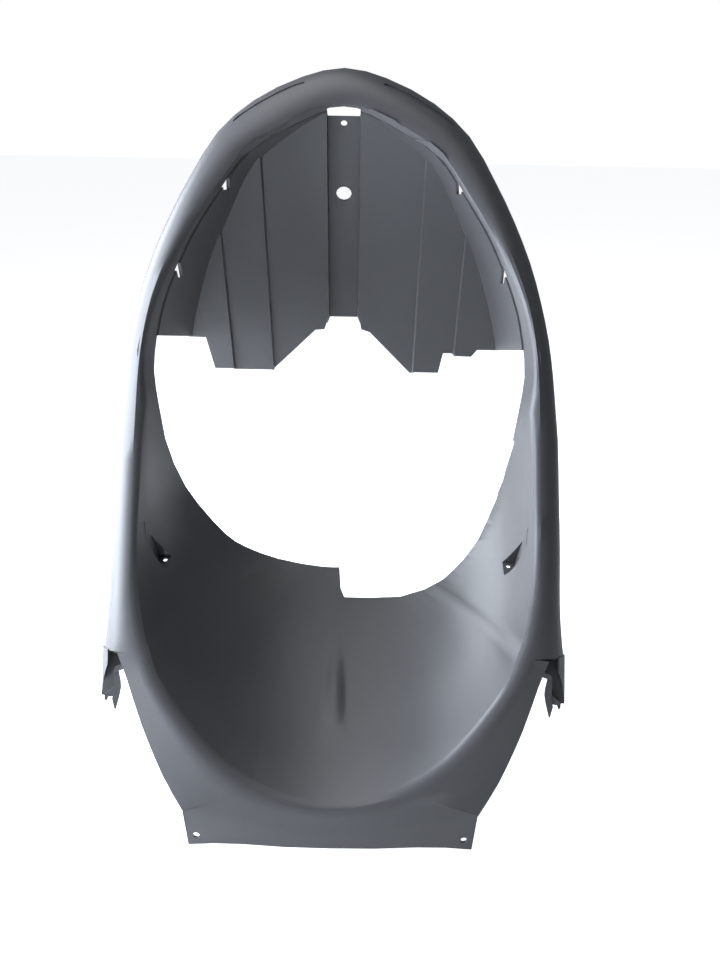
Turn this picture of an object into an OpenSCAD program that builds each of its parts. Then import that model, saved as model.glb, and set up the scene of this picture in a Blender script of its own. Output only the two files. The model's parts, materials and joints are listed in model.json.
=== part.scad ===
// Scooter front panel, one injection moulding in dark plastic.
// A teardrop rim carries an open bowl below and a corrugated roof wall behind its arch.
// The rim stands in one plane. Inside the rim frame x runs to the right, y runs back
// behind the rim plane and z runs up along it. The finished part leans that frame back,
// so the screw flange at the bottom stands upright. The origin lies midway between
// the two screw holes of the flange. Sizes are millimetres.

/* [Panel] */
// Width over the side bands
panel_w = 419; // [380:1:450]
// Length of the rim and bowl outline, measured in the rim plane
panel_h = 700; // [640:1:760]
// Depth of the bowl from the rim plane to its rear edge
bowl_depth = 150; // [125:1:175]
// Height of the rear edge of the bowl, down from the drawing centre
bowl_edge_drop = 91; // [75:1:110]
// Lean of the rim plane behind the upright flange, in degrees
lean = 22; // [14:1:28]
// Wall thickness of the moulding
wall_t = 2.5; // [2:0.1:2.8]
// Depth of the side bands at their outer edge
band_d = 30; // [24:1:34]
// Length of the return that runs back from the outer edge
skirt = 8; // [4:0.5:12]

/* [Corrugated roof wall] */
// Angle of the flutes behind the rim plane
wall_tilt = 45; // [42:0.5:48]
// Height in the rim plane where the channel floor would start
wall_top = 348; // [340:1:352]
// Width of the centre channel floor
channel_w = 29; // [24:1:34]
// Depth of the centre channel below its side panels
channel_d = 8; // [5:0.5:10]
// Distance from the middle to the inner step
fold_in = 76; // [68:1:84]
// Distance from the middle to the outer step
fold_out = 119; // [112:1:126]
// Rise of the inner step
step_in = 3.5; // [2:0.5:5]
// Rise of the outer step
step_out = 4; // [2:0.5:5]
// Diameter of the small hole at the channel top
pin_d = 6; // [4:0.1:8]
// Diameter of the large hole in the channel
bore_d = 14.5; // [10:0.1:20]
// Taper of the arch wall that closes the roof at the sides, in degrees
arch_draft = -0.8; // [-1.5:0.1:1]

/* [Screw flange] */
// Distance between the two screw holes
hole_span = 239; // [225:1:243]
// Diameter of the screw holes
hole_d = 6; // [4:0.1:7]
// Depth of the flange below the screw holes
flange_drop = 11; // [8:0.5:14]
// Rise of the wavy bottom edge at its highest places
flange_wave = 3; // [0:0.5:4]

/* [Details] */
// Width of the two grooves in the top band
groove_w = 5; // [4:0.5:7]
// Length of the two grooves
groove_l = 88; // [60:1:96]
// Depth of the two grooves
groove_d = 1.3; // [0.6:0.1:1.4]
// Diameter of the screw hole in each side pocket
pocket_hole_d = 4.2; // [3:0.1:5]
// Length of the locating tongue under each side band
tongue_l = 36; // [26:1:44]
// Thickness of the locating tongue
tongue_t = 3; // [2:0.1:4]
// Height of the long swelling in the bowl floor
swell_h = 3.5; // [2:0.5:6]

/* [Hidden] */
drawn_w = 419;
drawn_h = 700;
drawn_depth = 150;
drawn_band = 30;
facet = 19;
eps = 0.01;
dark = [0.24, 0.235, 0.235];
kx = panel_w / drawn_w;
kz = panel_h / drawn_h;
kb = bowl_depth / drawn_depth;
kd = band_d / drawn_band;
flange_half = 127 * kx;
flange_sag = 9.4;
flange_top = -316.5 * kz;
flange_depth = 2.5;
hole_z = -320 * kz;

// Driving stations from the top of the arch to the bottom of the bowl, right half.
// Each station holds the outer edge, the crest, the inner lip and the inner edge,
// then the fullness of the band, the belly of the inner wall and the lip radius.
half = [
  [[0, 17, 370], [0, 0, 347], [0, 1, 331], [0, 5, 330.5], [0.5, 0, 2.4]],
  [[37.5, 17, 361.5], [30.5, 0, 339], [25, 1, 326], [24, 5, 325.5], [0.5, 0, 2.4]],
  [[81.5, 18, 339.5], [70.5, 0, 315.5], [63.5, 1, 306], [62.5, 5, 305], [0.5, 0, 2.4]],
  [[113.5, 19, 311], [99, 0, 295.5], [88.5, 1.2, 288], [87, 5, 288], [0.55, 0, 2.4]],
  [[138, 21, 271], [123, 0, 261.5], [112, 1.6, 254], [110, 6, 253.5], [0.6, 0, 2.4]],
  [[156, 23, 236], [139.5, 0, 226], [132, 1.8, 222], [130, 7, 222], [0.65, 0, 2.4]],
  [[171.5, 25, 198.5], [154, 0, 192], [148, 2.4, 190], [145, 9, 190.5], [0.7, 0, 2.4]],
  [[182, 27, 162.5], [166, 0, 158.5], [162.3, 2.2, 157.5], [158, 13, 158], [0.75, 0, 2.4]],
  [[189.5, 28, 128.5], [173, 0, 125], [170.2, 3, 125], [166, 22, 127], [0.8, 0, 2.4]],
  [[194, 29, 98.5], [176.5, 0, 95], [173, 2.4, 94.5], [168.5, 28, 96.5], [0.8, 0, 2.4]],
  [[197.5, 30, 65.5], [178, 0, 63.5], [170, 3, 63.5], [165, 36, 65], [0.8, 0, 2.4]],
  [[200, 30, 40], [179, 0, 38], [172, 2.6, 38], [162, 52, 35.5], [0.8, 0.2, 2.4]],
  [[202, 30, -9], [180.5, 0, -9], [173.5, 2.4, -8], [153, 112, -10], [0.8, 0.8, 2.4]],
  [[204, 30, -59.5], [181, 0, -57], [175, 2.4, -54.5], [117, 141, -57.5], [0.8, 0.9, 2.4]],
  [[205, 30, -109.5], [181.5, 0, -105.5], [173.5, 2.4, -99], [88.5, 147, -74.5], [0.8, 0.9, 2.6]],
  [[208, 30, -146], [176, 0, -142.5], [167, 2.4, -137.5], [68, 149, -81.5], [0.8, 0.85, 3]],
  [[209.5, 30, -157], [172, 0, -153.5], [164, 2.4, -148.5], [61.5, 149.2, -83.5], [0.8, 0.82, 3]],
  [[191, 4, -157.5], [171.5, 0, -155], [163, 2.4, -149.5], [60.5, 149.4, -83.5], [0.2, 0.82, 3]],
  [[182.5, 6, -181], [162, 0, -184.5], [155, 2, -174.5], [51, 150, -85.5], [0, 0.78, 3.2]],
  [[170, 9, -220.5], [139, -1, -219], [132, 1.8, -209], [38, 150, -88], [0, 0.74, 3.4]],
  [[149.5, 8, -266.5], [106.5, -1.6, -255.5], [100, 1.2, -245.5], [26.5, 150, -89.5], [0, 0.7, 3.5]],
  [[130.5, 3, -295.5], [74, -2, -277.5], [69.5, 1, -267], [17.5, 150, -90.5], [0, 0.66, 3.6]],
  [[79.5, 2, -306.5], [37.5, -2.4, -288], [36, 0.6, -281], [8.5, 150, -91], [0, 0.63, 3.6]],
  [[0, 2.5, -316.5], [0, -2.4, -292.5], [0, 0.4, -286.5], [0, 150, -91], [0, 0.6, 3.6]]
];
last = len(half) - 1;
band_end = 16;
flange_row = 21;
corners = [band_end, band_end + 1, flange_row];

// Depth of the flange face behind the rim plane, gently curved across its width.
function flange_y(x, z) = flange_depth + (flange_top - z) * tan(lean) + flange_sag * pow(x / flange_half, 2);

function flip(p) = [-p.x, p.y, p.z];
function scaled(p, k) = [p.x * kx, k == 3 ? p.y * kb : k == 0 ? p.y * kd : p.y, p.z * kz];
function edge_shift(p) = [p.x, p.y, p.z < 0 ? p.z - (bowl_edge_drop - 91) * min(1, -p.z / 91) : p.z];
rows = [for (r = half) [scaled(r[0], 0), scaled(r[1], 1), scaled(r[2], 2), edge_shift(scaled(r[3], 3)), r[4]]];
function flip_row(r) = [flip(r[0]), flip(r[1]), flip(r[2]), flip(r[3]), r[4]];
function row(i) = i < 0 ? flip_row(rows[-i]) : i > last ? flip_row(rows[2 * last - i]) : rows[i];
function span(i) = norm(row(i + 1)[1] - row(i)[1]);
function is_corner(i) = len([for (c = corners) if (c == i) c]) > 0;
function slope(i, j, side) = j == 0 && is_corner(i)
  ? (side < 0 ? (row(i)[j] - row(i - 1)[j]) / span(i - 1) : (row(i + 1)[j] - row(i)[j]) / span(i))
  : (row(i + 1)[j] - row(i - 1)[j]) / (span(i - 1) + span(i));
function curve(i, j, u) = (2 * u * u * u - 3 * u * u + 1) * row(i)[j]
  + (u * u * u - 2 * u * u + u) * span(i) * slope(i, j, 1)
  + (3 * u * u - 2 * u * u * u) * row(i + 1)[j]
  + (u * u * u - u * u) * span(i) * slope(i + 1, j, -1);

// Places along the half outline where a section is taken.
function cuts(i) = max(1, round(span(i) / facet));
places = [for (i = [0 : last - 1]) each concat(
  [for (k = [0 : cuts(i) - 1]) [i, k / cuts(i)]],
  i == flange_row - 1 ? [[i, 0.985]] : [])];
stops = concat(places, [[last - 1, 1]]);

function bez(a, b, c, u) = (1 - u) * (1 - u) * a + 2 * u * (1 - u) * b + u * u * c;
function unit(v) = v / norm(v);

// Skirt or flange edge below the outer edge.
function foot(place, o) = place[0] >= flange_row
  ? let (
      r = abs(o.x) / flange_half,
      z = hole_z - flange_drop * cos(lean) + flange_wave * sin(180 * pow(min(r, 1), 2)) + 2.6 * (1 - r),
      x = o.x * 0.975)
    [x, flange_y(x, z), z]
  : o + [0, (place[0] > band_end ? 6 / 8 : 1) * skirt, 0];
function rim_edge(place, o) = place[0] >= flange_row ? [o.x, flange_y(o.x, o.z), o.z] : o;

// One section across the moulding, from the skirt over the crest to the inner edge.
function section(place) = let (
    i = place[0],
    u = place[1],
    o = rim_edge(place, curve(i, 0, u)),
    c = curve(i, 1, u),
    l = curve(i, 2, u),
    b = curve(i, 3, u),
    s = curve(i, 4, u),
    bulge = lerp3((o + c) / 2, [o.x, c.y, o.z], s[0]),
    m = (l + b) / 2,
    belly = [m.x + (l.x - m.x) * 0.8 * s[1], m.y + 0.3 * b.y * s[1], m.z + (l.z - m.z) * 0.3 * s[1]],
    back = unit(c - l),
    away = unit(belly - l),
    l3 = l + s[2] * away,
    w = max(0, min(1, (b.z - arch_low) / 20))
  ) concat(
    [foot(place, o)],
    [for (v = [0, 0.22, 0.48, 0.74]) bez(o, bulge, c, v)],
    [c, (c + l) / 2 - [0, 0.5, 0]],
    [l + s[2] * back, l + 0.25 * s[2] * (back + away), l3],
    [for (k = [0 : 4]) bez(l3, belly, b, lerp3(low_steps[k], arch_steps[k], w)) + [0, k == 4 ? arch_root * w : 0, 0]]
  );
function lerp3(a, b, t) = a + (b - a) * t;
// Steps down the inner wall. On the arch the last step runs straight back as a root for the arch wall.
low_steps = [0.18, 0.38, 0.6, 0.8, 1];
arch_steps = [0.22, 0.48, 0.75, 1, 1];
arch_root = 4;
arch_low = 100 * kz;

right = [for (p = stops) section(p)];
count = len(right);
// The whole ring, with the left half mirrored.
ring = concat(right, [for (k = [count - 2 : -1 : 1]) [for (p = right[k]) flip(p)]]);

// Outward normals of a grid of points, mitred so the wall keeps its thickness.
function grid_at(g, i, j, loop) = loop ? g[(i + len(g)) % len(g)][j] : g[max(0, min(len(g) - 1, i))][j];
function facing(g, i, j, loop) = let (
    t = grid_at(g, i + 1, j, loop) - grid_at(g, i - 1, j, loop),
    w = len(g[0]) - 1,
    p = g[i][j],
    e1 = j > 0 ? p - g[i][j - 1] : g[i][1] - p,
    e2 = j < w ? g[i][j + 1] - p : e1,
    n1 = unit(cross(e1, t)),
    n2 = unit(cross(e2, t)),
    n = unit(n1 + n2)
  ) n / max(0.62, n * n1);

// Solid sheet of even thickness behind a grid of surface points.
module sheet(g, t, loop) {
  slab(g, [for (i = [0 : len(g) - 1]) [for (j = [0 : len(g[0]) - 1])
    g[i][j] - t * facing(g, i, j, loop)]], loop);
}

// Solid between a front and a rear grid of points.
module slab(g, back, loop) {
  rows_n = len(g);
  w = len(g[0]);
  turns = loop ? rows_n : rows_n - 1;
  front = [for (i = [0 : rows_n - 1]) for (j = [0 : w - 1]) g[i][j]];
  rear = [for (i = [0 : rows_n - 1]) for (j = [0 : w - 1]) back[i][j]];
  all = rows_n * w;
  function id(i, j) = (i % rows_n) * w + j;
  faces = concat(
    [for (i = [0 : turns - 1]) for (j = [0 : w - 2]) each [
      [id(i, j), id(i + 1, j + 1), id(i, j + 1)],
      [id(i, j), id(i + 1, j), id(i + 1, j + 1)],
      [all + id(i, j), all + id(i, j + 1), all + id(i + 1, j + 1)],
      [all + id(i, j), all + id(i + 1, j + 1), all + id(i + 1, j)]]],
    [for (i = [0 : turns - 1]) each [
      [id(i, 0), all + id(i + 1, 0), id(i + 1, 0)],
      [id(i, 0), all + id(i, 0), all + id(i + 1, 0)],
      [id(i, w - 1), id(i + 1, w - 1), all + id(i + 1, w - 1)],
      [id(i, w - 1), all + id(i + 1, w - 1), all + id(i, w - 1)]]],
    loop ? [] : [for (j = [0 : w - 2]) each [
      [id(0, j), id(0, j + 1), all + id(0, j + 1)],
      [id(0, j), all + id(0, j + 1), all + id(0, j)],
      [id(rows_n - 1, j), all + id(rows_n - 1, j + 1), id(rows_n - 1, j + 1)],
      [id(rows_n - 1, j), all + id(rows_n - 1, j), all + id(rows_n - 1, j + 1)]]]
  );
  polyhedron(points = concat(front, rear), faces = faces, convexity = 12);
}

module shell() {
  sheet(ring, wall_t, true);
}

// Roof wall. Its profile lies in x and n, where n rises toward the front,
// and it runs down and back along the flutes.
arch_stops = [for (k = [0 : count - 1]) if (right[k][14].z > arch_low) k];
arch_last = len(arch_stops) - 1;
// Points of the arch wall lie between the stations of the rim.
function arch_point(k) = k == 0
  ? [0, right[0][14].y, right[0][14].z - 0.6]
  : (right[k - 1][14] + right[k][14]) / 2;
function arch_out(k) = let (
    a = k == 0 ? flip(arch_point(1)) : arch_point(k - 1),
    d = arch_point(k + 1) - a
  ) unit([-d.z, 0, d.x]);
function arch(k, off, y) = let (
    p = arch_point(k),
    n = arch_out(k),
    r = off - tan(arch_draft) * (y - p.y)
  ) [p.x + n.x * r, y, p.z + n.z * r];
function arch_side(k, off, y) = k < 0 ? flip(arch(-k, off, y)) : arch(k, off, y);
arch_off = 1.1;

panel_n = channel_d + 1.5;
mid_n = panel_n + step_in;
side_n = mid_n + step_out;
wall_reach = 178 * kx;
half_path = [
  [0, 0],
  [channel_w / 2, 0],
  [channel_w / 2 + 0.8, channel_d],
  [fold_in - 0.7, panel_n],
  [fold_in + 0.8, mid_n],
  [fold_out - 0.7, mid_n],
  [fold_out + 0.8, side_n],
  [wall_reach, side_n]
];
// Sideways shift of each path point that keeps the risers as thick as the panels.
half_shift = [0, 1, 1, 0.85, 0.85, 0.85, 0.85, 0];
function path(depth) = [for (k = [0 : 7]) half_path[k] + [half_shift[k] * depth, -depth]];
function both(h) = concat([for (k = [7 : -1 : 1]) [-h[k].x, h[k].y]], h);

module along_flutes(start, length) {
  translate([0, 0, wall_top])
    rotate([180 + wall_tilt, 0, 0])
      translate([0, 0, start])
        linear_extrude(height = length) children();
}

module wall_profile() {
  along_flutes(-20, 380)
    polygon(concat(both(path(0)), reverse(both(path(wall_t)))));
}
function reverse(v) = [for (k = [len(v) - 1 : -1 : 0]) v[k]];

module before_wall() {
  along_flutes(-30, 420)
    polygon(concat(both(path(wall_t * 0.55)), [[wall_reach, 330], [-wall_reach, 330]]));
}

// Tapered block whose side faces follow the arch at a given offset.
module arch_block(off, y0, y1) {
  n = 2 * arch_last + 1;
  a = [for (k = [-arch_last : arch_last]) arch_side(k, off, y0)];
  b = [for (k = [-arch_last : arch_last]) arch_side(k, off, y1)];
  polyhedron(
    points = concat(a, b),
    faces = concat(
      [for (k = [0 : n - 1]) let (m = (k + 1) % n) each [[k, n + m, m], [k, n + k, n + m]]],
      [[for (k = [0 : n - 1]) k], [for (k = [n - 1 : -1 : 0]) n + k]]),
    convexity = 4);
}

// Lower edge and top notch of the roof wall, seen along the depth.
wall_outline = [
  [-172, 149.8], [-146.5, 149.3], [-139.5, 115.5], [-120, 115.5], [-119, 120], [-77.5, 120], [-75.5, 123],
  [-30, 159.8], [-20.5, 160.6], [-17.5, 167.5], [-14.5, 174], [14.5, 174], [17.5, 167.5], [19, 161], [28, 158.5],
  [74.5, 119], [76.5, 115.7], [101.5, 115.7], [104, 118], [108, 139.2], [117.5, 139.2], [121, 136], [138.5, 135.7],
  [144, 142.3], [172, 142.3]
];
notch_w = channel_w / 2 + 0.45;
notch_wall = channel_w / 2 + 1.3;
notch_z = 328 * kz;

module wall_cut() {
  translate([0, 300, 0]) rotate([90, 0, 0])
    linear_extrude(height = 296)
      polygon(concat(
        [for (p = wall_outline) [p.x * kx, p.y * kz]],
        [[190 * kx, 380 * kz], [notch_wall, 380 * kz], [notch_wall, notch_z], [-notch_wall, notch_z],
         [-notch_wall, 380 * kz], [-190 * kx, 380 * kz]]));
}

module roof_wall() {
  intersection() {
    wall_profile();
    arch_block(arch_off + wall_t / 2, 4, 262);
    wall_cut();
  }
}

// Opening above the channel, cut into the arch wall and its root.
module top_notch() {
  translate([-notch_w, 5.2, 312 * kz]) cube([2 * notch_w, 60, 26 * kz]);
}

module arch_wall() {
  grid = [for (k = [-arch_last : arch_last]) let (y = arch_point(abs(k)).y) [
    arch_side(k, arch_off, 272 - 0.6 * max(0, arch_point(abs(k)).z)),
    arch_side(k, arch_off, y - arch_root * 0.4)]];
  difference() {
    intersection() {
      sheet(grid, wall_t, false);
      before_wall();
    }
    top_notch();
    arch_foot(-200, [[12, 60], [12, 125.5], [290, 167], [290, 60]]);
    arch_foot(0, [[12, 60], [12, 118.7], [290, 157], [290, 60]]);
  }
}
module arch_foot(x, outline) {
  translate([x, 0, 0])
    multmatrix([[0, 0, 1, 0], [1, 0, 0, 0], [0, 1, 0, 0]])
      linear_extrude(height = 200)
        polygon([for (p = outline) [p.x, p.y * kz]]);
}

// Two slots in each side of the arch wall, seen along x as depth and height.
window_top = [[8, 266], [30, 262.6], [14, 257], [8, 258]];
window_low = [[10, 191], [42, 184], [26, 181], [10, 184]];
module windows() {
  for (s = [-1, 1]) {
    across([for (p = window_top) [p.x, p.y * kz]], s * 108 * kx - 12, s * 108 * kx + 12);
    across([for (p = window_low) [p.x, p.y * kz]], s * 150 * kx - 12, s * 150 * kx + 12);
  }
}

// Rear edge of the bowl is cut lower on the right of a short step.
module bowl_trim() {
  translate([0, 190, 0]) rotate([90, 0, 0])
    linear_extrude(height = 160)
      offset(r = -4, $fn = 16) offset(delta = 4)
        polygon([for (p = [
          [-3, -70], [1, -90], [3, -112], [7, -120.5], [33, -120.5], [64, -118.3], [88, -110.2], [106.5, -99.4],
          [117.5, -88.9], [127, -78.4], [134.5, -68.1], [141, -57.7], [149.5, -37.2], [156.5, -17], [160.5, 3],
          [162.5, 22], [164, 39], [120, 60], [0, 60]]) [p.x * kx, p.y * kz - (bowl_edge_drop - 91)]]);
}

// Screw pocket sunk into each side wall of the bowl, seen along x as depth and height.
pocket_mouth = [[24, -46], [77, -76.5], [67, -88], [60, -85], [49, -77], [28, -57]];
pocket_face = 171;
module across(outline, x0, x1) {
  translate([x0, 0, 0])
    multmatrix([[0, 0, 1, 0], [1, 0, 0, 0], [0, 1, 0, 0]])
      linear_extrude(height = x1 - x0) polygon(outline);
}
module pocket_body() {
  intersection() {
    translate([0, 0, 0])
      multmatrix([[0, 0, 1, 150], [1, 0, 0, 0], [0, 1, 0, 0]])
        linear_extrude(height = 30) offset(delta = wall_t) polygon(pocket_mouth);
    translate([0, 0, -100]) linear_extrude(height = 62)
      polygon([
        [172.6, 20], [171.3, 36], [168.4, 48], [164.6, 62], [160, 75], [157, 82],
        [pocket_face + wall_t, 86], [pocket_face + wall_t, 20]]);
  }
}
module pocket_hole() {
  translate([164.5, 74, -79.6])
    rotate([-130, 0, 0])
      cylinder(d = pocket_hole_d, h = 16, center = true, $fn = 24);
}

// Bracket, locating tongue and hook at the lower end of each side band.
module plate_xz(y, t, outline) {
  translate([0, y + t, 0]) rotate([90, 0, 0]) linear_extrude(height = t) polygon(outline);
}
module tongue() {
  k = tongue_l / 36;
  plate_xz(5, 5.5, [[184, -166.3], [193.5, -169.8], [194.5, -175], [184, -171]]);
  plate_xz(7.5, tongue_t, [
    [191, -173], [194.8, -173.5], [194.6, -174 - 8 * k], [194.2, -174 - 17 * k], [196, -174 - 24.5 * k],
    [193.4, -174 - 34 * k], [192.6, -174 - 33.6 * k], [189.8, -174 - 22.5 * k], [188.4, -174 - 14.5 * k],
    [188.8, -174 - 9 * k]]);
  plate_xz(8.4, 11.6, [[203.9, -195.2], [199.5, -192], [195, -188.4], [192.4, -190.5], [193.5, -196], [200.5, -197.2]]);
  plate_xz(12, 4, [[203.8, -195], [203.6, -200.4], [202, -201.4], [200.6, -196]]);
  plate_xz(18.8, wall_t, [
    [185, -149], [204.6, -150], [205.6, -178], [208, -192], [208.5, -198], [204, -197.2], [197, -197.6],
    [194.5, -190], [196.6, -178], [196, -173.5], [186, -169]]);
  tail_wall();
}
// Outer wall of the side band, running on below its end to a point.
module tail_wall() {
  intersection() {
    translate([0, 0, -205]) linear_extrude(height = 50)
      polygon([[211, 37.6], [211, 29.5], [208, 20.2], [201.5, 11.2], [199.8, 13.4], [205.6, 21.4], [208.4, 29.8], [208.4, 37.6]]);
    translate([0, 60, 0]) rotate([90, 0, 0]) linear_extrude(height = 70)
      polygon([
        [196, -150], [197, -163], [200.2, -166.3], [203.1, -172.2], [206.3, -182.1], [208.6, -192.8], [209.6, -199.5],
        [211.4, -199.5], [209.6, -157], [209.3, -150]]);
  }
}

// Shallow long swelling in the middle of the bowl floor.
swell_rows = [for (k = [-5 : 5]) -k / 5];
swell_cols = [for (k = [0 : 10]) k / 10];
bowl_mid = right[count - 1];
function floor_y(z) = lookup(z, [for (j = [9 : 14]) [bowl_mid[j].z, bowl_mid[j].y]]);
function swell_rise(u, v) = swell_h * pow(sin(180 * pow(v, 0.6)), 2) * pow(1 - u * u, 2) - 0.4;
function swell_point(u, v, rise) = let (
    z = (-238 + 88 * v) * kz,
    wide = 15 - 5 * v,
    sag = u * u * wide * wide / 300 * (1 - v)
  ) [u * wide, floor_y(z) - sag - 0.8 * rise, z + 0.6 * rise];
module swelling() {
  slab(
    [for (u = swell_rows) [for (v = swell_cols) swell_point(u, v, swell_rise(u, v))]],
    [for (u = swell_rows) [for (v = swell_cols) swell_point(u, v, -1.5)]],
    false);
}

// Shallow grooves that follow the curved top band.
groove_mid = 1.82;
function place_at(t) = [floor(t), t - floor(t)];
function band_point(t, v) = let (
    i = floor(t), u = t - floor(t),
    o = curve(i, 0, u), c = curve(i, 1, u), s = curve(i, 4, u)
  ) bez(o, lerp3((o + c) / 2, [o.x, c.y, o.z], s[0]), c, v);
module groove() {
  span_t = groove_l / 88 * 0.8;
  wide = groove_w / 6 * 0.105;
  g = [for (k = [-5 : 5]) let (
      t = groove_mid + span_t * k / 5,
      w = wide * (abs(k) == 5 ? 0.55 : 1)
    ) [for (v = [-1, -0.33, 0.33, 1]) band_point(t, 0.49 - 0.06 * k / 5 + v * w)]];
  top = [for (i = [0 : len(g) - 1]) [for (j = [0 : 3]) g[i][j] + 3 * facing(g, i, j, false)]];
  sheet(top, 3 + groove_d, false);
}

module in_rim_frame() {
  // The two screw holes lie on the x axis of the finished part.
  y0 = flange_y(hole_span / 2, hole_z);
  translate([0, -(y0 * cos(lean) + hole_z * sin(lean)), y0 * sin(lean) - hole_z * cos(lean)])
    rotate([-lean, 0, 0]) children();
}

module flute_hole(x, s, d) {
  translate([0, 0, wall_top])
    rotate([180 + wall_tilt, 0, 0])
      translate([x, 0, s])
        rotate([90, 0, 0])
          cylinder(d = d, h = 30, center = true, $fn = 32);
}

// The moulding as one skin, before its round holes are made.
module moulding() {
  difference() {
    union() {
      difference() {
        shell();
        bowl_trim();
        top_notch();
      }
      roof_wall();
      arch_wall();
      swelling();
      for (s = [0, 1]) mirror([s, 0, 0]) {
        pocket_body();
        tongue();
      }
    }
    windows();
    for (s = [0, 1]) mirror([s, 0, 0]) {
      across(pocket_mouth, 148, pocket_face);
      groove();
    }
  }
}

module panel() {
  color(dark) difference() {
    in_rim_frame() difference() {
      minkowski() moulding();
      for (s = [0, 1]) mirror([s, 0, 0]) pocket_hole();
      flute_hole(0, 35.6, pin_d);
      flute_hole(0, 104.6, bore_d);
    }
    for (s = [-1, 1])
      translate([s * hole_span / 2, 0, 0])
        rotate([90, 0, 0])
          cylinder(d = hole_d, h = 30, center = true, $fn = 32);
  }
}

panel();
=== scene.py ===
# %% [markdown]
# # Scooter front panel
#
# One dark plastic moulding, lit by a window on its left.
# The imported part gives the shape. This notebook adds a smooth skin, the plastic,
# the lights and the camera, one step in each cell.

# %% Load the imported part
import json
import math

import bpy
from mathutils import Matrix, Vector

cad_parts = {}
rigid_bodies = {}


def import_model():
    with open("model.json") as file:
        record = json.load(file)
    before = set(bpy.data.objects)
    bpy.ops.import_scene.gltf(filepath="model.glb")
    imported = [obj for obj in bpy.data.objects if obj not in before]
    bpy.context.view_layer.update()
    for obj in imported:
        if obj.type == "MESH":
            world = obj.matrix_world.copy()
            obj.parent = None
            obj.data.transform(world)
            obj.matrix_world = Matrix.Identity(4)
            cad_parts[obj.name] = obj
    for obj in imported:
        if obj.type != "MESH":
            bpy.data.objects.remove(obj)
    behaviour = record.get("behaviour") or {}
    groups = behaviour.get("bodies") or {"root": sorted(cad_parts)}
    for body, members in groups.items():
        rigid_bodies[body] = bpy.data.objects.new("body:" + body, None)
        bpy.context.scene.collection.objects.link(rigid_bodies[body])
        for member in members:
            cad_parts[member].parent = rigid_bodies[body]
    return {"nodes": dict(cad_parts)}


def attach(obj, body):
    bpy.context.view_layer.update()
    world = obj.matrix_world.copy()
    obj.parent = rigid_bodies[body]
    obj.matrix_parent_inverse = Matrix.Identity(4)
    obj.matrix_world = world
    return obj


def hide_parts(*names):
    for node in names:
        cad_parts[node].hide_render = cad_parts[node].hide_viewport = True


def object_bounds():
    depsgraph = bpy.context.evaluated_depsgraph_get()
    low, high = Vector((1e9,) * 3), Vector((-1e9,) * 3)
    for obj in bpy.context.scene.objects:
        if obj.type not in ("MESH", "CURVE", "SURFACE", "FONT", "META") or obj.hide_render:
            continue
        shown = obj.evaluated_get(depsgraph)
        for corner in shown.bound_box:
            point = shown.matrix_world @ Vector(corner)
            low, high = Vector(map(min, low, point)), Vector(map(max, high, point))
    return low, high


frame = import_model()
cad_box = [list(map(float, corner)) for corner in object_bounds()]
print("box of the part in metres:", cad_box)

# %% [markdown]
# ## The rim frame
#
# The rim of the panel stands in one plane, which leans back behind the upright flange.
# Three directions describe it: `across` to the right, `into` behind the rim plane
# and `along` up the rim. The camera looks straight into that plane.

# %% Directions of the rim plane
LEAN = math.radians(22)
RIM_ORIGIN = Vector((0, 0.1085285, 0.3012828))
across = Vector((1, 0, 0))
into = Vector((0, math.cos(LEAN), -math.sin(LEAN)))
along = Vector((0, math.sin(LEAN), math.cos(LEAN)))
print("the rim plane faces", [round(-c, 3) for c in into])


def rim_point(x, y, z):
    """Place given in the rim frame, in metres."""
    return RIM_ORIGIN + across * x + into * y + along * z


# %% [markdown]
# ## A smooth skin
#
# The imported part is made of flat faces. A copy of it gets its doubled corners merged,
# and is shaded smooth wherever two faces meet at a shallow angle. Real edges stay sharp.

# %% Make the skin from a copy of the part
SMOOTH_BELOW = math.radians(32)
cad_panel = frame["nodes"]["panel"]
bpy.ops.object.select_all(action="DESELECT")
cad_panel.select_set(True)
bpy.context.view_layer.objects.active = cad_panel
bpy.ops.object.duplicate()
skin = bpy.context.view_layer.objects.active
skin.name = "panel_skin"
bpy.ops.object.parent_clear(type="CLEAR_KEEP_TRANSFORM")
bpy.ops.object.transform_apply(location=True, rotation=True, scale=True)
if skin.data.has_custom_normals:
    bpy.ops.mesh.customdata_custom_splitnormals_clear()
bpy.ops.object.mode_set(mode="EDIT")
bpy.ops.mesh.select_all(action="SELECT")
bpy.ops.mesh.remove_doubles(threshold=0.000002)
bpy.ops.object.mode_set(mode="OBJECT")
bpy.ops.object.shade_smooth_by_angle(angle=SMOOTH_BELOW)
print("the skin has", len(skin.data.vertices), "corners and", len(skin.data.polygons), "faces")

# %% [markdown]
# ## Shader sums in plain writing
#
# The small class below lets a material be written as ordinary sums.
# Each value is a socket of the node tree.


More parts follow.
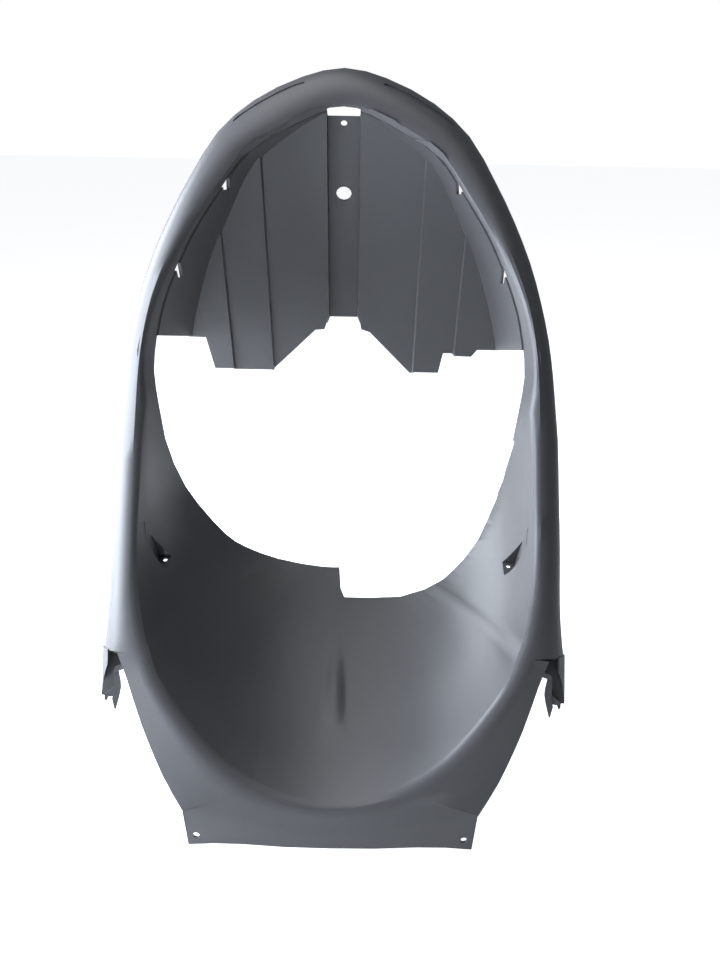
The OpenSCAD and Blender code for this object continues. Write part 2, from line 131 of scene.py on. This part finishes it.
# %% Wrap the shader sockets
class Val:
    """One socket of a node tree, with the usual sums."""

    def __init__(self, tree, socket):
        self.tree = tree
        self.socket = socket

    def maths(self, operation, other, swap=False):
        node = self.tree.nodes.new("ShaderNodeMath")
        node.operation = operation
        pair = (other, self) if swap else (self, other)
        for place, value in zip(node.inputs, pair):
            if isinstance(value, Val):
                self.tree.links.new(value.socket, place)
            else:
                place.default_value = value
        return Val(self.tree, node.outputs[0])

    def __add__(self, other):
        return self.maths("ADD", other)

    def __radd__(self, other):
        return self.maths("ADD", other, swap=True)

    def __sub__(self, other):
        return self.maths("SUBTRACT", other)

    def __rsub__(self, other):
        return self.maths("SUBTRACT", other, swap=True)

    def __mul__(self, other):
        return self.maths("MULTIPLY", other)

    def __rmul__(self, other):
        return self.maths("MULTIPLY", other, swap=True)

    def node(self, kind, inputs=None, output=0, **settings):
        """Any other node, fed by this value where an input says so."""
        made = self.tree.nodes.new(kind)
        for name, value in settings.items():
            setattr(made, name, value)
        for name, value in (inputs or {}).items():
            if isinstance(value, Val):
                self.tree.links.new(value.socket, made.inputs[name])
            else:
                made.inputs[name].default_value = value
        return Val(self.tree, made.outputs[output])


# %% [markdown]
# ## Dark moulded plastic
#
# The plastic is dark grey with a satin sheen and a very fine grain from the mould.
# Handling has left faint cloudy patches, a little lighter and rougher than the rest.

# %% Build the plastic
DARK = (0.047, 0.0465, 0.049, 1)
LIGHT = (0.066, 0.065, 0.067, 1)
GRAIN_SCALE = 1500
CLOUD_SCALE = 14
ROUGHNESS = 0.43

plastic = bpy.data.materials.new("satin_plastic")
plastic.use_nodes = True
tree = plastic.node_tree
shader = tree.nodes["Principled BSDF"]
place = tree.nodes.new("ShaderNodeTexCoord")
where = Val(tree, place.outputs["Object"])

clouds = where.node("ShaderNodeTexNoise", {"Vector": where, "Scale": CLOUD_SCALE, "Detail": 3.0})
specks = where.node("ShaderNodeTexNoise", {"Vector": where, "Scale": 260.0, "Detail": 2.0})
grain = where.node("ShaderNodeTexNoise", {"Vector": where, "Scale": GRAIN_SCALE, "Detail": 2.0})

share = clouds * 0.7 + specks * 0.3
tone = where.node("ShaderNodeMix", {0: share, 6: DARK, 7: LIGHT}, output=2, data_type="RGBA")
rough = ROUGHNESS - 0.07 + clouds * 0.1 + specks * 0.04
bump = where.node(
    "ShaderNodeBump", {"Height": grain * 0.75 + specks * 0.25, "Strength": 0.22, "Distance": 0.0002})

tree.links.new(tone.socket, shader.inputs["Base Color"])
tree.links.new(rough.socket, shader.inputs["Roughness"])
tree.links.new(bump.socket, shader.inputs["Normal"])
shader.inputs["IOR"].default_value = 1.5
skin.data.materials.clear()
skin.data.materials.append(plastic)
cad_panel.data.materials[0] = plastic
print("the plastic has", len(tree.nodes), "nodes")

# %% Tie the skin to the part
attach(skin, "root")
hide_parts("panel")
print("the skin stands for the packed panel")

# %% [markdown]
# ## Floor
#
# A plain pale floor lies just under the flange. It goes on far behind the panel,
# so the background stays even. To the camera it glows a little, which keeps it white
# and still shows a soft shadow.

# %% Lay the floor
FLOOR_GAP = 0.0015
floor_z = cad_box[0][2] - FLOOR_GAP
bpy.ops.mesh.primitive_plane_add(size=1, location=(0, 0, 0))
floor = bpy.context.view_layer.objects.active
floor.name = "floor"
bpy.ops.transform.resize(value=(14, 14, 1))
bpy.ops.transform.translate(value=(0, 3.0, floor_z))
bpy.ops.object.transform_apply(location=True, rotation=True, scale=True)
bpy.ops.object.mode_set(mode="EDIT")
bpy.ops.mesh.select_all(action="SELECT")
bpy.ops.mesh.subdivide(number_cuts=3)
bpy.ops.object.mode_set(mode="OBJECT")

paint = bpy.data.materials.new("pale_floor")
paint.use_nodes = True
floor_tree = paint.node_tree
floor_shader = floor_tree.nodes["Principled BSDF"]
floor_place = floor_tree.nodes.new("ShaderNodeTexCoord")
floor_where = Val(floor_tree, floor_place.outputs["Object"])
mottle = floor_where.node("ShaderNodeTexNoise", {"Vector": floor_where, "Scale": 3.0})
floor_tone = floor_where.node(
    "ShaderNodeMix", {0: mottle, 6: (0.84, 0.84, 0.84, 1), 7: (0.88, 0.88, 0.88, 1)},
    output=2, data_type="RGBA")
floor_tree.links.new(floor_tone.socket, floor_shader.inputs["Base Color"])
floor_shader.inputs["Roughness"].default_value = 0.9
floor_rays = floor_tree.nodes.new("ShaderNodeLightPath")
floor_glow = floor_where.node(
    "ShaderNodeMix", {0: Val(floor_tree, floor_rays.outputs["Is Camera Ray"]), 6: (0, 0, 0, 1), 7: (1, 1, 1, 1)},
    output=2, data_type="RGBA")
floor_tree.links.new(floor_glow.socket, floor_shader.inputs["Emission Color"])
floor_shader.inputs["Emission Strength"].default_value = 0.8
floor.data.materials.append(paint)
print("the floor lies at", round(floor_z, 4), "m")

# %% [markdown]
# ## Light
#
# A tall window on the left gives a cool light. Part of it stands behind the rim plane,
# so it glances off the outside of the left band, and part of it in front.
# A soft lamp overhead and the pale room do the rest.


# %% Set the lamps
def area_lamp(name, spot, aim, width, height, power, colour):
    """Rectangular lamp at a spot of the rim frame, aimed at another."""
    start = rim_point(*spot)
    toward = rim_point(*aim) - start
    bpy.ops.object.light_add(type="AREA", location=start)
    lamp = bpy.context.view_layer.objects.active
    lamp.name = name
    lamp.data.shape = "RECTANGLE"
    lamp.data.size = width
    lamp.data.size_y = height
    lamp.data.energy = power
    lamp.data.color = colour
    lamp.rotation_euler = toward.to_track_quat("-Z", "Y").to_euler()
    return lamp


area_lamp("window", (-1.3, 0.3, 0.15), (0.1, 0.0, 0.0), 1.5, 1.7, 100, (0.86, 0.92, 1.0))
area_lamp("window_front", (-1.3, -0.5, 0.1), (0.2, 0.1, -0.15), 0.9, 1.5, 55, (0.80, 0.88, 1.0))
area_lamp("ceiling", (-0.2, -0.7, 1.5), (0, 0, 0.1), 1.6, 1.0, 14, (0.97, 0.97, 1.0))

# %% Pale room around the panel
ROOM = (0.50, 0.53, 0.58, 1)
ROOM_STRENGTH = 0.34
world = bpy.data.worlds.new("room")
bpy.context.scene.world = world
world.use_nodes = True
room_tree = world.node_tree
room_tree.nodes.clear()
room_out = room_tree.nodes.new("ShaderNodeOutputWorld")
seen = room_tree.nodes.new("ShaderNodeBackground")
seen.inputs["Color"].default_value = (1, 1, 1, 1)
seen.inputs["Strength"].default_value = 1.0
lit = room_tree.nodes.new("ShaderNodeBackground")
lit.inputs["Color"].default_value = ROOM
lit.inputs["Strength"].default_value = ROOM_STRENGTH
rays = room_tree.nodes.new("ShaderNodeLightPath")
blend = room_tree.nodes.new("ShaderNodeMixShader")
room_tree.links.new(rays.outputs["Is Camera Ray"], blend.inputs[0])
room_tree.links.new(lit.outputs[0], blend.inputs[1])
room_tree.links.new(seen.outputs[0], blend.inputs[2])
room_tree.links.new(blend.outputs[0], room_out.inputs["Surface"])
bpy.context.scene.view_settings.view_transform = "Standard"
print("the room lights the panel with strength", ROOM_STRENGTH)

# %% [markdown]
# ## Camera
#
# The camera looks straight into the rim plane from 0.83 m, a little right of the middle,
# and is turned by about one degree.

# %% Place the camera
DISTANCE = 0.83
SIDE = 0.0207
ROLL = math.radians(1.1)
LENS = 35.36
bpy.ops.object.camera_add(location=rim_point(SIDE, -DISTANCE, 0))
camera = bpy.context.view_layer.objects.active
right = across * math.cos(ROLL) + along * math.sin(ROLL)
up = along * math.cos(ROLL) - across * math.sin(ROLL)
back = -into
camera.rotation_euler = Matrix((right, up, back)).transposed().to_euler()
camera.data.sensor_fit = "VERTICAL"
camera.data.sensor_height = 36
camera.data.lens = LENS
camera.data.clip_start = 0.02
camera.data.clip_end = 60
bpy.context.scene.camera = camera
print("the camera stands at", [round(c, 3) for c in camera.location])
